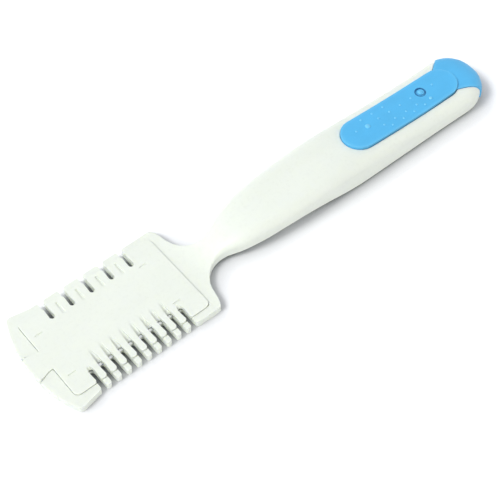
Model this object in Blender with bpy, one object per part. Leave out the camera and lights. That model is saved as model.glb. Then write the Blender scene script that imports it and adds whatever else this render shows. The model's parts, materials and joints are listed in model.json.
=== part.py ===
"""Razor comb: a two-sided comb head with a double-edge blade under a lift-off cover, on a thick handle.

Metres, +Z up. The comb lies on its back on Z = 0, the head towards -X and the handle towards +X.
+Y is the side of the wide teeth and -Y the side of the narrow teeth. The origin is the middle of the
whole comb's footprint. Every length follows from the named values below.
"""
import bmesh
import bpy
from math import cos, pi, sin, sqrt
from mathutils import Matrix, Vector

# The blade, a standard double-edge one
blade_length = 0.0430
blade_width = 0.0222
blade_thickness = 0.0001
blade_edge_length = 0.0371
blade_end_width = 0.0130
blade_slot_width = 0.0015
blade_slot_length = 0.0330
post_spacing = 0.0200
post_diameter = 0.0030
post_clearance = 0.0004

# The teeth, at the same spacing on the base and the cover
narrow_pitch = 0.00375
narrow_slot_count = 10
slot_width = 0.00185
wide_slot_step = 2
wide_slot_count = 5
root_inset = 0.0005
tip_round_share = 0.42

# The head in plan
cover_length = 0.0500
cover_width = 0.0314
cover_corner_radius = 0.0016
front_rim = 0.0014
back_rim = 0.0019
tooth_reach = 0.0027
tip_flare = 0.0016
tip_bulge = 0.0046
tip_corner_radius = 0.0018

# The head in height
bed_height = 0.0013
cover_thickness = 0.0018
cover_rise = 0.0006
touch_gap = 0.0003
blade_room = 0.0004
post_rise = 0.0013

# The cover's tab and what is cut in its top
tab_width = 0.0068
tab_flare = 0.0017
tab_root_radius = 0.0005
tab_tip_radius = 0.0008
groove_reach = 0.0054
short_groove_reach = 0.0010
groove_start_share = 0.45
hollow_width = 0.0011
hollow_depth = 0.0004
hollow_length = 0.0050
hollow_inset = 0.0006
mark_length = 0.0028
mark_width = 0.0005
mark_depth = 0.0003
mark_inset = 0.0070
front_mark_inset = 0.0032
back_mark_inset = 0.0074

# The neck and the handle
handle_length = 0.1263
neck_half_width = 0.0044
handle_half_width = 0.0104
handle_height = 0.0092
crest_rise = 0.0031
arch_rise = 0.0034
end_round_length = 0.0120
handle_top_radius = 0.0035
handle_bottom_radius = 0.0024
head_edge_radius = 0.0003
shoulder_length = 0.0120
top_crown = 0.0005
dish_depth = 0.0008

# The blue grip insert
tongue_length = 0.0494
tongue_width = 0.0120
tongue_rise = 0.0011
tongue_end_inset = 0.0094
insert_bed = 0.0018
cap_start_inset = 0.0137
cap_lap = 0.0010
cap_rise = 0.0004
cap_sweep_wide_side = 0.0085
cap_sweep_narrow_side = 0.0112
cap_sill_height = 0.0030
ring_radius = 0.0018
ring_groove_width = 0.0006
ring_depth = 0.0004
ring_from_tongue_end = 0.0142
ring_aside = 0.0010

# How far a cutter runs past what it cuts
overrun = 0.0020

# Shape of the end of the handle
end_power = 2.5
end_flat_share = 0.35
dish_half_width_share = 0.72
rounding_share = 0.8

# Plan of the shoulder: how far back, and how much of the head's extra half width is left
shoulder_shares = (
    (0.00, 1.015), (0.055, 0.97), (0.10, 0.90), (0.13, 0.83), (0.165, 0.68), (0.20, 0.53), (0.27, 0.37),
    (0.38, 0.225), (0.51, 0.115), (0.65, 0.045), (0.82, 0.008), (1.00, 0.000),
)
# Plan of the handle: how far along it, and how much of its extra half width over the neck is there
width_shares = (
    (0.085, 0.00), (0.105, 0.06), (0.125, 0.22), (0.15, 0.44), (0.18, 0.60), (0.215, 0.74), (0.26, 0.85),
    (0.32, 0.93), (0.40, 0.975), (0.50, 0.995), (0.62, 1.00), (0.80, 1.00), (0.90, 1.03), (1.00, 1.07),
)
# How far the underside lifts off the ground along the handle, as shares of the arch's rise
underside_shares = (
    (0.00, 0.00), (0.03, 0.02), (0.06, 0.14), (0.095, 0.36), (0.15, 0.62), (0.22, 0.85), (0.28, 1.00),
    (0.33, 0.98), (0.38, 0.82), (0.42, 0.62), (0.46, 0.33), (0.50, 0.12), (0.54, 0.00), (1.00, 0.00),
)
# How far the top swells over the handle's own height, as shares of the crest's rise
crest_shares = (
    (0.00, 0.00), (0.03, 0.02), (0.06, 0.14), (0.095, 0.36), (0.15, 0.60), (0.24, 0.76), (0.34, 0.90),
    (0.42, 1.00), (0.50, 0.89), (0.56, 0.69), (0.62, 0.48), (0.70, 0.25), (0.80, 0.07), (1.00, 0.00),
)
# How far the top has grown from the head's to the handle's height
growth_shares = (
    (0.00, 0.00), (0.03, 0.03), (0.06, 0.12), (0.095, 0.33), (0.14, 0.60), (0.19, 0.80), (0.25, 0.92),
    (0.34, 0.98), (0.46, 1.00), (1.00, 1.00),
)
# Depth of the thumb dish along the handle
dish_shares = (
    (0.00, 0.0), (0.13, 0.0), (0.20, 0.45), (0.30, 0.95), (0.42, 1.0), (0.52, 0.55), (0.60, 0.0), (1.00, 0.0),
)
# Where the body's cross sections stand along the straight part of the handle, and round its end
station_shares = (
    0.00, 0.005, 0.0105, 0.014, 0.017, 0.0205, 0.027, 0.037, 0.050, 0.063, 0.078, 0.093, 0.108, 0.123,
    0.140, 0.160, 0.18, 0.20, 0.225, 0.25, 0.28, 0.31, 0.34, 0.37, 0.40, 0.43, 0.46, 0.49, 0.52, 0.55,
    0.58, 0.61, 0.64, 0.67, 0.70, 0.73, 0.76, 0.79, 0.82, 0.85, 0.88, 0.905, 0.94, 0.97, 1.00,
)
end_turn_shares = (0.16, 0.30, 0.43, 0.55, 0.66, 0.76, 0.84, 0.91, 0.96, 0.985)
# The cap's two swept edges, from the tongue out to the handle's sides and back along it
wide_sweep_shares = ((0.00, 0.00), (0.17, 0.12), (0.37, 0.36), (0.54, 0.60), (1.00, 1.00))
narrow_sweep_shares = ((0.00, 0.04), (0.25, 0.46), (0.39, 0.66), (0.53, 0.84), (0.65, 0.92), (1.00, 1.00))

arc_steps = 6
corner_steps = 5
top_steps = 8
hole_steps = 24

# Places that follow from the sizes
cover_half_length = cover_length / 2
cover_half_width = cover_width / 2
tooth_half_span = cover_half_width + tooth_reach
tip_half_span = tooth_half_span + tip_flare
head_front = cover_half_length + front_rim
head_back = cover_half_length + back_rim
end_reach = (end_round_length + cap_rise) * end_turn_shares[-1]
overall_length = head_front + tip_bulge + head_back + handle_length - end_round_length + end_reach
head_x = head_front + tip_bulge - overall_length / 2
handle_start = head_x + head_back
handle_end = handle_start + handle_length
end_round_start = handle_end - end_round_length
root_half_span = blade_width / 2 - root_inset
blade_bottom = bed_height + touch_gap
cover_bottom = bed_height + touch_gap
cover_top = cover_bottom + cover_thickness
rim_top = cover_top - cover_rise
post_top = bed_height + post_rise
tongue_end = handle_end - tongue_end_inset
tongue_start = tongue_end - tongue_length
top_height = handle_height + crest_rise + tongue_rise + overrun


def clear_scene():
    for old in list(bpy.data.objects):
        bpy.data.objects.remove(old, do_unlink=True)


def make_material(name, colour, roughness, metallic):
    material = bpy.data.materials.new(name)
    material.use_nodes = True
    shader = material.node_tree.nodes["Principled BSDF"]
    shader.inputs["Base Color"].default_value = (*colour, 1.0)
    shader.inputs["Roughness"].default_value = roughness
    shader.inputs["Metallic"].default_value = metallic
    return material


def make_object(name, points, faces):
    """Make a closed object whose faces point outwards."""
    mesh = bpy.data.meshes.new(name)
    mesh.from_pydata(points, [], faces)
    shape = bmesh.new()
    shape.from_mesh(mesh)
    bmesh.ops.recalc_face_normals(shape, faces=shape.faces)
    shape.to_mesh(mesh)
    shape.free()
    made = bpy.data.objects.new(name, mesh)
    bpy.context.scene.collection.objects.link(made)
    return made


def as_cutter(made):
    made.hide_render = True
    made.display_type = "WIRE"
    return made


def combine(made, tool, operation):
    """Join the tool to an object, cut it away, or keep only what both share."""
    step = made.modifiers.new(operation.title(), "BOOLEAN")
    step.object = as_cutter(tool)
    step.operation = operation


def finish(made, material, origin):
    """Give a piece its material, its own origin and smooth shading up to its sharp edges."""
    made.data.transform(Matrix.Translation(origin).inverted())
    made.location = origin
    made.data.materials.append(material)
    made.data.shade_smooth()
    made.data.set_sharp_from_angle(angle=pi / 6)


def prisms(name, outlines, bottom, top):
    """Close one or more separate plan outlines between two heights, in one object."""
    points = []
    faces = []
    for outline in outlines:
        start = len(points)
        count = len(outline)
        points += [(x, y, bottom) for x, y in outline]
        points += [(x, y, top) for x, y in outline]
        faces.append(tuple(start + i for i in reversed(range(count))))
        faces.append(tuple(start + count + i for i in range(count)))
        for i in range(count):
            j = (i + 1) % count
            faces.append((start + i, start + j, start + count + j, start + count + i))
    return make_object(name, points, faces)


def circle(x, y, radius):
    turns = [2 * pi * i / hole_steps for i in range(hole_steps)]
    return [(x + radius * cos(a), y + radius * sin(a)) for a in turns]


def stadium(x0, x1, half_width, steps):
    """Outline with round ends along X, from x0 to x1."""
    points = []
    for centre, first in ((x1 - half_width, -pi / 2), (x0 + half_width, pi / 2)):
        turns = [first + pi * i / steps for i in range(steps + 1)]
        points += [(centre + half_width * cos(a), half_width * sin(a)) for a in turns]
    return points


def fillet(corners):
    """Round the corners of an outline. Each corner is (x, y, radius)."""
    points = []
    count = len(corners)
    for i, (x, y, radius) in enumerate(corners):
        here = Vector((x, y))
        if not radius:
            points.append((x, y))
            continue
        before = (Vector(corners[i - 1][:2]) - here).normalized()
        after = (Vector(corners[(i + 1) % count][:2]) - here).normalized()
        half_angle = before.angle(after) / 2
        middle = (before + after).normalized()
        centre = here + middle * (radius / sin(half_angle))
        foot_one = here + before * (radius / (sin(half_angle) / cos(half_angle)))
        foot_two = here + after * (radius / (sin(half_angle) / cos(half_angle)))
        start = foot_one - centre
        turn = start.angle_signed(foot_two - centre)
        for k in range(corner_steps + 1):
            a = -turn * k / corner_steps
            spoke = Vector((start.x * cos(a) - start.y * sin(a), start.x * sin(a) + start.y * cos(a)))
            points.append((centre.x + spoke.x, centre.y + spoke.y))
    return points


def read_shares(table, at):
    """Read a table of shares smoothly, without overshoot."""
    if at <= table[0][0]:
        return table[0][1]
    if at >= table[-1][0]:
        return table[-1][1]
    last = len(table) - 1
    slopes = [(table[i + 1][1] - table[i][1]) / (table[i + 1][0] - table[i][0]) for i in range(last)]
    tangents = [slopes[0]]
    for before, after in zip(slopes, slopes[1:]):
        tangents.append(2 * before * after / (before + after) if before * after > 0 else 0.0)
    tangents.append(slopes[-1])
    i = next(k for k in range(last) if at <= table[k + 1][0])
    (x0, y0), (x1, y1) = table[i], table[i + 1]
    t = (at - x0) / (x1 - x0)
    from_start = (1 + 2 * t) * (1 - t) ** 2 * y0 + t * (1 - t) ** 2 * (x1 - x0) * tangents[i]
    from_end = t * t * (3 - 2 * t) * y1 + t * t * (t - 1) * (x1 - x0) * tangents[i + 1]
    return from_start + from_end


# The teeth in plan

def narrow_slots():
    middle = (narrow_slot_count - 1) / 2
    return [head_x + (i - middle) * narrow_pitch for i in range(narrow_slot_count)]


def wide_slots():
    middle = (wide_slot_count - 1) / 2
    return [head_x + (i - middle) * wide_slot_step * narrow_pitch for i in range(wide_slot_count)]


def slot_outline(place, side, reach):
    """One open slot, round at its root, its mouth flared so that the teeth have round tips.

    side is +1 or -1, and reach is how far the teeth reach from the middle of the head.
    """
    half = slot_width / 2
    flare = (narrow_pitch - slot_width) * tip_round_share
    root = root_half_span + half
    points = [(-half - flare, reach + overrun), (-half - flare, reach)]
    for i in range(1, arc_steps + 1):
        a = pi / 2 * i / arc_steps
        points.append((-half - flare * (1 - sin(a)), reach - flare * (1 - cos(a))))
    for i in range(2 * arc_steps + 1):
        a = pi * i / (2 * arc_steps)
        points.append((-half * cos(a), root - half * sin(a)))
    for i in range(arc_steps - 1, -1, -1):
        a = pi / 2 * i / arc_steps
        points.append((half + flare * (1 - sin(a)), reach - flare * (1 - cos(a))))
    points.append((half + flare, reach + overrun))
    return [(place + x, side * y) for x, y in points]


def slot_cutter(name, reach):
    outlines = [slot_outline(x, -1, reach) for x in narrow_slots()]
    outlines += [slot_outline(x, 1, reach) for x in wide_slots()]
    return prisms(name, outlines, -overrun, cover_top + overrun)


def tip_x(y):
    """Place of the bulged front edge at a distance from the middle line."""
    radius = (tip_half_span ** 2 + tip_bulge ** 2) / (2 * tip_bulge)
    return head_x - head_front - tip_bulge + radius - sqrt(radius ** 2 - y ** 2)


def tip_points(y_from, y_to, steps):
    places = [y_from + (y_to - y_from) * i / steps for i in range(steps + 1)]
    return [(tip_x(y), y, 0.0) for y in places]


def head_outline():
    """Plan of the toothed head, carried on past the handle's end."""
    far = handle_end + overrun
    flare_start = narrow_slots()[0] - narrow_pitch / 2
    inner = tip_half_span - 2 * tip_corner_radius
    corners = [(far, -tooth_half_span, 0.0), (far, tooth_half_span, 0.0)]
    corners.append((flare_start, tooth_half_span, 0.0))
    corners.append((tip_x(tip_half_span), tip_half_span, tip_corner_radius))
    corners += tip_points(inner, -inner, 3 * arc_steps)
    corners.append((tip_x(tip_half_span), -tip_half_span, tip_corner_radius))
    corners.append((flare_start, -tooth_half_span, 0.0))
    return fillet(corners)


def cover_outline(gap, front_overrun):
    """Plan of the cover, without its slots, grown by a gap and with its tab carried on at the front."""
    x0 = head_x - cover_half_length - gap
    x1 = head_x + cover_half_length + gap
    width = cover_half_width + gap
    radius = cover_corner_radius + gap
    half_tab = tab_width / 2 + gap
    tab_reach = head_front + tip_bulge - cover_half_length
    tip_y = half_tab + tab_flare
    edge = []
    for i in range(1, arc_steps):
        t = i / arc_steps
        edge.append((x0 - (x0 - tip_x(tip_y)) * t, half_tab + tab_flare * t * t, 0.0))
    if front_overrun:
        front = x0 - tab_reach - front_overrun
        end = [(tip_x(tip_y), tip_y, 0.0), (front, tip_y, 0.0)]
        end += [(front, -tip_y, 0.0), (tip_x(tip_y), -tip_y, 0.0)]
    else:
        inner = tip_y - 2 * tab_tip_radius
        end = [(tip_x(tip_y), tip_y, tab_tip_radius)]
        end += tip_points(inner, -inner, arc_steps)
        end += [(tip_x(tip_y), -tip_y, tab_tip_radius)]
    corners = [(x1, -width, radius), (x1, width, radius), (x0, width, radius)]
    corners.append((x0, half_tab, tab_root_radius))
    corners += edge + end
    corners += [(x, -y, r) for x, y, r in reversed(edge)]
    corners.append((x0, -half_tab, tab_root_radius))
    corners.append((x0, -width, radius))
    return fillet(corners)


# The long surface of the body, from the tip to the handle's end

def body_section(x, offset, left, foot):
    """One closed cross section of the body, its surface moved outwards by an offset.

    left is how much of the width remains where the handle's end turns round, 1 before it. Below its
    middle the section goes straight down to the foot, where one is given.
    """
    along = (x - handle_start) / handle_length
    if x < handle_start:
        half = tip_half_span + overrun
    else:
        back = read_shares(shoulder_shares, (x - handle_start) / shoulder_length)
        half = neck_half_width + (tooth_half_span - neck_half_width) * back
    half += (handle_half_width - neck_half_width) * read_shares(width_shares, along)
    grown = read_shares(growth_shares, along)
    ground = arch_rise * read_shares(underside_shares, along)
    crest = rim_top + (handle_height - rim_top) * grown + crest_rise * read_shares(crest_shares, along)
    middle = (ground + crest) / 2
    half = (half + offset) * left
    half_height = ((crest - ground) / 2 + offset) * (end_flat_share + (1 - end_flat_share) * left)
    low = middle - half_height
    high = middle + half_height
    top_radius = head_edge_radius + (handle_top_radius + offset - head_edge_radius) * grown
    bottom_radius = head_edge_radius + (handle_bottom_radius + offset - head_edge_radius) * grown
    room = min(half, 2 * half_height * rounding_share)
    shrink = min(1.0, room / (top_radius + bottom_radius))
    top_radius = top_radius * shrink
    bottom_radius = bottom_radius * shrink
    points = []
    for i in range(corner_steps + 1):
        a = pi / 2 * i / corner_steps
        points.append((half - bottom_radius * (1 - sin(a)), low + bottom_radius * (1 - cos(a))))
    for i in range(corner_steps + 1):
        a = pi / 2 * i / corner_steps
        points.append((half - top_radius * (1 - cos(a)), high - top_radius * (1 - sin(a))))
    flat = half - top_radius
    for i in range(1, top_steps // 2 + 1):
        points.append((flat * (1 - 2 * i / top_steps), high))
    points += [(-y, z) for y, z in reversed(points[:-1])]
    crown = top_crown * grown * left
    dish = dish_depth * read_shares(dish_shares, along)
    reach = half * dish_half_width_share
    section = []
    for y, z in points:
        if z > middle:
            hollow = max(0.0, 1 - (y / reach) ** 2) ** 2
            z += (crown * (1 - (y / half) ** 2) - dish * hollow) * (z - middle) / half_height
        elif foot is not None:
            z = foot
        section.append((x, y, z))
    return section


def long_body(name, offset, first, foot=None):
    """Loft the cross sections from a first place to the handle's end, moved outwards by an offset."""
    straight = end_round_start - handle_start
    stations = [(first, 1.0)]
    places = [handle_start + straight * share for share in station_shares]
    stations += [(x, 1.0) for x in places if x > first]
    for turn in end_turn_shares:
        left = (1 - turn ** end_power) ** (1 / end_power)
        stations.append((end_round_start + (end_round_length + offset) * turn, left))
    rings = [body_section(x, offset, left, foot) for x, left in stations]
    count = len(rings[0])
    points = [p for ring in rings for p in ring]
    faces = [tuple(range(count)), tuple(range(len(points) - count, len(points)))]
    for r in range(len(rings) - 1):
        for i in range(count):
            j = (i + 1) % count
            faces.append((r * count + i, r * count + j, (r + 1) * count + j, (r + 1) * count + i))
    return make_object(name, points, faces)


# The grip insert in plan

def tongue_outline(gap):
    return stadium(tongue_start - gap, tongue_end + gap, tongue_width / 2 + gap, 2 * arc_steps)


def cap_outline(gap):
    """Plan of the cap: from its swept edges on both sides of the tongue to past the handle's end."""
    start = handle_end - cap_start_inset - gap
    far = handle_end + overrun
    inner = tongue_width / 2 - cap_lap
    outer = handle_half_width + overrun
    points = [(far, -outer), (far, outer)]
    for share, along in reversed(wide_sweep_shares):
        points.append((start + cap_sweep_wide_side * along, inner + (outer - inner) * share))
    for share, along in narrow_sweep_shares:
        points.append((start + cap_sweep_narrow_side * along, -inner - (outer - inner) * share))
    return points


def grip_cutter(gap):
    """The room of the insert in the body, down to the core that stays below it."""
    low = cap_sill_height - gap
    high = top_height
    room = prisms("grip_room", [tongue_outline(gap)], low, high)
    combine(room, prisms("cap_room", [cap_outline(gap)], low, high), "UNION")
    core = long_body("grip_core", -insert_bed - gap, tongue_start - tongue_width, -overrun)
    combine(room, core, "DIFFERENCE")
    return room


# The pieces

def post_places(radius):
    return [circle(head_x + side * post_spacing / 2, 0.0, radius) for side in (-1, 1)]


def make_body(material):
    body = long_body("comb_body", 0.0, head_x - head_front - tip_bulge - overrun)
    head = prisms("head_plan", [head_outline()], -overrun, top_height)
    combine(body, head, "INTERSECT")
    pocket = prisms("cover_pocket", [cover_outline(touch_gap, overrun)], bed_height, cover_top + overrun)
    combine(body, pocket, "DIFFERENCE")
    combine(body, slot_cutter("body_slots", tooth_half_span), "DIFFERENCE")
    combine(body, grip_cutter(touch_gap), "DIFFERENCE")
    combine(body, prisms("posts", post_places(post_diameter / 2), bed_height / 2, post_top), "UNION")
    finish(body, material, Vector((0.0, 0.0, 0.0)))


def blade_outline():
    """A double-edge blade: two long edges, and a narrower end at each side."""
    half = blade_length / 2
    edge = blade_edge_length / 2
    wide = blade_width / 2
    narrow = blade_end_width / 2
    quarter = [(half, narrow), (edge, narrow), (edge, wide)]
    points = quarter + [(-x, y) for x, y in reversed(quarter)]
    points += [(-x, -y) for x, y in points]
    return [(head_x + x, y) for x, y in points]


def make_blade(material):
    blade = prisms("razor_blade", [blade_outline()], blade_bottom, blade_bottom + blade_thickness)
    low = blade_bottom - overrun
    high = blade_bottom + overrun
    reach = blade_slot_length / 2
    slot = stadium(head_x - reach, head_x + reach, blade_slot_width / 2, arc_steps)
    combine(blade, prisms("blade_slot", [slot], low, high), "DIFFERENCE")
    holes = post_places(post_diameter / 2 + post_clearance)
    combine(blade, prisms("blade_holes", holes, low, high), "DIFFERENCE")
    finish(blade, material, Vector((head_x, 0.0, blade_bottom)))


def groove(place, side, reach):
    """Corners and faces of one groove that runs down from the cover's top into the root of a slot."""
    start = root_half_span - reach
    end = root_half_span + slot_width / 2
    wide = slot_width / 2
    thin = wide * groove_start_share
    high = cover_top + overrun
    corners = []
    for y, half, low in ((start, thin, cover_top), (end, wide, cover_bottom)):
        corners += [(place - half, side * y, low), (place + half, side * y, low)]
        corners += [(place + half, side * y, high), (place - half, side * y, high)]
    return corners, [(0, 1, 2, 3), (4, 5, 6, 7), (0, 1, 5, 4), (1, 2, 6, 5), (2, 3, 7, 6), (3, 0, 4, 7)]


def groove_cutter():
    """Long grooves at the inner narrow slots, and short slopes at the two outer ones."""
    points = []
    faces = []
    slots = narrow_slots()
    for place in slots:
        outer = place in (slots[0], slots[-1])
        corners, sides = groove(place, -1, short_groove_reach if outer else groove_reach)
        faces += [tuple(len(points) + i for i in side) for side in sides]
        points += corners
    return make_object("cover_grooves", points, faces)


def hollow_outlines():
    """The shallow closed hollows between the wide slots."""
    wide = wide_slots()
    inner = cover_half_width - hollow_inset - hollow_length
    outlines = []
    for a, b in zip(wide, wide[1:]):
        shape = stadium(inner, inner + hollow_length, hollow_width / 2, arc_steps)
        outlines.append([((a + b) / 2 - y, x) for x, y in shape])
    return outlines


def mark_outlines():
    """The four short marks near the cover's corners."""
    y = cover_half_width - mark_inset
    front = head_x - cover_half_length + front_mark_inset
    back = head_x + cover_half_length - back_mark_inset
    outlines = []
    for x in (front, back):
        for side in (-1, 1):
            shape = stadium(x - mark_length / 2, x + mark_length / 2, mark_width / 2, arc_steps)
            outlines.append([(px, side * y + py) for px, py in shape])
    return outlines


def make_cover(material):
    cover = prisms("comb_cover", [cover_outline(0.0, 0.0)], cover_bottom, cover_top)
    high = cover_top + overrun
    room_top = cover_bottom + blade_room
    room = [(head_x - blade_length / 2 - touch_gap, -blade_width / 2 - overrun)]
    room += [(-room[0][0] + 2 * head_x, room[0][1])]
    room += [(x, -y) for x, y in reversed(room)]
    combine(cover, prisms("blade_room", [room], -overrun, room_top), "DIFFERENCE")
    combine(cover, slot_cutter("cover_slots", cover_half_width), "DIFFERENCE")
    combine(cover, groove_cutter(), "DIFFERENCE")
    combine(cover, prisms("cover_hollows", hollow_outlines(), cover_top - hollow_depth, high), "DIFFERENCE")
    combine(cover, prisms("cover_marks", mark_outlines(), cover_top - mark_depth, high), "DIFFERENCE")
    sockets = post_places(post_diameter / 2 + post_clearance)
    combine(cover, prisms("cover_sockets", sockets, -overrun, post_top + touch_gap), "DIFFERENCE")
    finish(cover, material, Vector((head_x, 0.0, cover_bottom)))


def ring_cutter():
    """A round groove in the top of the tongue."""
    x = tongue_end - ring_from_tongue_end
    surface = max(p[2] for p in body_section(x, tongue_rise, 1.0, None))
    outer = circle(x, ring_aside, ring_radius)
    inner = circle(x, ring_aside, ring_radius - ring_groove_width)
    count = hole_steps
    points = []
    for z in (surface - ring_depth, surface + overrun):
        points += [(px, py, z) for px, py in outer] + [(px, py, z) for px, py in inner]
    faces = []
    for i in range(count):
        j = (i + 1) % count
        for a, b in ((0, 2 * count), (count, 3 * count), (0, count), (2 * count, 3 * count)):
            faces.append((a + i, a + j, b + j, b + i))
    return make_object("ring_groove", points, faces)


def make_insert(material):
    """The blue tongue on top of the handle and the cap round the handle's end, in one piece."""
    first = tongue_start - tongue_width
    high = top_height
    insert = long_body("grip_insert", tongue_rise, first)
    combine(insert, prisms("tongue_plan", [tongue_outline(0.0)], cap_sill_height, high), "INTERSECT")
    cap = long_body("grip_cap", cap_rise, first)
    combine(cap, prisms("cap_plan", [cap_outline(0.0)], cap_sill_height, high), "INTERSECT")
    combine(insert, cap, "UNION")
    combine(insert, long_body("insert_core", -insert_bed, first - tongue_width, -overrun), "DIFFERENCE")
    combine(insert, ring_cutter(), "DIFFERENCE")
    finish(insert, material, Vector((tongue_end, 0.0, handle_height)))


clear_scene()
white = make_material("white_plastic", (0.84, 0.88, 0.80), 0.35, 0.0)
steel = make_material("blade_steel", (0.62, 0.64, 0.66), 0.25, 1.0)
blue = make_material("blue_grip", (0.09, 0.42, 0.80), 0.45, 0.0)
make_body(white)
make_blade(steel)
make_cover(white)
make_insert(blue)
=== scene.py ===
"""Dresses the razor comb: softened mouldings, a ground blade, a dotted soft grip and a pale studio.

Every length is in metres, in the frame of the comb's plain solids.
"""

import json
import math

import bmesh
import bpy
from mathutils import Matrix, Vector
from mathutils.bvhtree import BVHTree


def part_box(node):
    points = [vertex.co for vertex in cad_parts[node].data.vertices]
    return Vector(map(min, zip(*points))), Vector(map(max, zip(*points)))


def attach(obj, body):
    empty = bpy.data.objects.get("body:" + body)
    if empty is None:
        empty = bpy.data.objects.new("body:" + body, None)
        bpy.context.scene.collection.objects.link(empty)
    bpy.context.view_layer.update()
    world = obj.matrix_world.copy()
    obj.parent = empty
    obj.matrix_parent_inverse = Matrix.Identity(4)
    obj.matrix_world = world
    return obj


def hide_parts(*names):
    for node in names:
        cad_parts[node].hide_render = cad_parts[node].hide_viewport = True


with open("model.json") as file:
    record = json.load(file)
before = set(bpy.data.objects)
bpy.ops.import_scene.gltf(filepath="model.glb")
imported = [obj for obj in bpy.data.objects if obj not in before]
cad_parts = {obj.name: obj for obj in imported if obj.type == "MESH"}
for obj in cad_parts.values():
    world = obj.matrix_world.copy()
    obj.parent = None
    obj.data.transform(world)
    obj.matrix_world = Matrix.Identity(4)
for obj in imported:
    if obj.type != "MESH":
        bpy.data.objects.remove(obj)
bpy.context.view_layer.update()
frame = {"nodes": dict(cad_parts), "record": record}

bl_info = {
    "name": "Razor comb",
    "version": (1, 0, 0),
    "blender": (4, 5, 0),
    "location": "3D View > Sidebar > Razor comb",
    "description": "Softened mouldings, finishes and studio for a two-edged razor comb",
    "category": "Add Mesh",
}

MM = 0.001


# Settings


class PlasticSettings(bpy.types.PropertyGroup):
    """Colour, grain and edges of the two white mouldings."""

    colour: bpy.props.FloatVectorProperty(
        name="Plastic colour",
        description="Colour of the comb and its cover",
        subtype="COLOR",
        size=3,
        min=0.0,
        max=1.0,
        default=(0.850, 0.885, 0.795),
    )
    # Colour of the darker speckles, and of the painted shade deep in the grooves and slots
    shade: bpy.props.FloatVectorProperty(
        name="Crevice colour",
        description="Colour that the plastic takes deep in its grooves and slots",
        subtype="COLOR",
        size=3,
        min=0.0,
        max=1.0,
        default=(0.600, 0.620, 0.540),
    )
    edge_radius: bpy.props.FloatProperty(
        name="Edge rounding",
        description="Radius of the rounding that the mould leaves on sharp edges",
        subtype="DISTANCE",
        unit="LENGTH",
        min=0.0,
        default=0.06 * MM,
    )
    seam_swell: bpy.props.FloatProperty(
        name="Cover swell",
        description="How far the cover's outline moves out, which narrows the seam round it",
        subtype="DISTANCE",
        unit="LENGTH",
        min=0.0,
        default=0.19 * MM,
    )
    grain_size: bpy.props.FloatProperty(
        name="Grain size",
        description="Width of one grain of the fine mould texture",
        subtype="DISTANCE",
        unit="LENGTH",
        min=0.05 * MM,
        default=0.35 * MM,
    )
    roughness: bpy.props.FloatProperty(
        name="Plastic roughness",
        description="How matt the mouldings are",
        subtype="FACTOR",
        min=0.0,
        max=1.0,
        default=0.36,
    )


class GripSettings(bpy.types.PropertyGroup):
    """Colour and raised dots of the soft grip."""

    colour: bpy.props.FloatVectorProperty(
        name="Grip colour",
        description="Main colour of the soft grip",
        subtype="COLOR",
        size=3,
        min=0.0,
        max=1.0,
        default=(0.088, 0.480, 0.840),
    )
    # Colour of the pale pores and of the rim where the rubber thins, and of the painted highlight
    # on the tip side and the dots
    speck_rim_and_highlight_colour: bpy.props.FloatVectorProperty(
        name="Grip rim colour",
        description="Lighter colour where the grip thins and turns over at its rim and dots",
        subtype="COLOR",
        size=3,
        min=0.0,
        max=1.0,
        default=(0.240, 0.700, 0.980),
    )
    edge_radius: bpy.props.FloatProperty(
        name="Grip edge rounding",
        description="Radius of the rounding on the edges of the grip",
        subtype="DISTANCE",
        unit="LENGTH",
        min=0.0,
        default=0.08 * MM,
    )
    swell: bpy.props.FloatProperty(
        name="Grip swell",
        description="How far the soft tongue swells out against the sides of its bed",
        subtype="DISTANCE",
        unit="LENGTH",
        min=0.0,
        default=0.14 * MM,
    )
    dot_radius: bpy.props.FloatProperty(
        name="Dot radius",
        description="Radius of a raised dot on the grip",
        subtype="DISTANCE",
        unit="LENGTH",
        min=0.1 * MM,
        default=0.42 * MM,
    )
    dot_height: bpy.props.FloatProperty(
        name="Dot height",
        description="How far a dot stands above the grip",
        subtype="DISTANCE",
        unit="LENGTH",
        min=0.02 * MM,
        default=0.20 * MM,
    )
    stud_radius: bpy.props.FloatProperty(
        name="Stud radius",
        description="Radius of the larger stud among the dots",
        subtype="DISTANCE",
        unit="LENGTH",
        min=0.1 * MM,
        default=0.95 * MM,
    )
    dot_pitch: bpy.props.FloatProperty(
        name="Dot pitch",
        description="Distance between neighbouring dots of a row",
        subtype="DISTANCE",
        unit="LENGTH",
        min=1.0 * MM,
        default=4.95 * MM,
    )


class BladeSettings(bpy.types.PropertyGroup):
    """Steel and ground edges of the blade."""

    colour: bpy.props.FloatVectorProperty(
        name="Steel colour",
        description="Colour of the brushed steel",
        subtype="COLOR",
        size=3,
        min=0.0,
        max=1.0,
        default=(0.560, 0.575, 0.580),
    )
    edge_colour: bpy.props.FloatVectorProperty(
        name="Ground edge colour",
        description="Brighter colour of the ground cutting edges",
        subtype="COLOR",
        size=3,
        min=0.0,
        max=1.0,
        default=(0.680, 0.700, 0.710),
    )
    ground_width: bpy.props.FloatProperty(
        name="Ground edge width",
        description="Width of the ground band along each cutting edge",
        subtype="DISTANCE",
        unit="LENGTH",
        min=0.1 * MM,
        default=1.6 * MM,
    )


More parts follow.
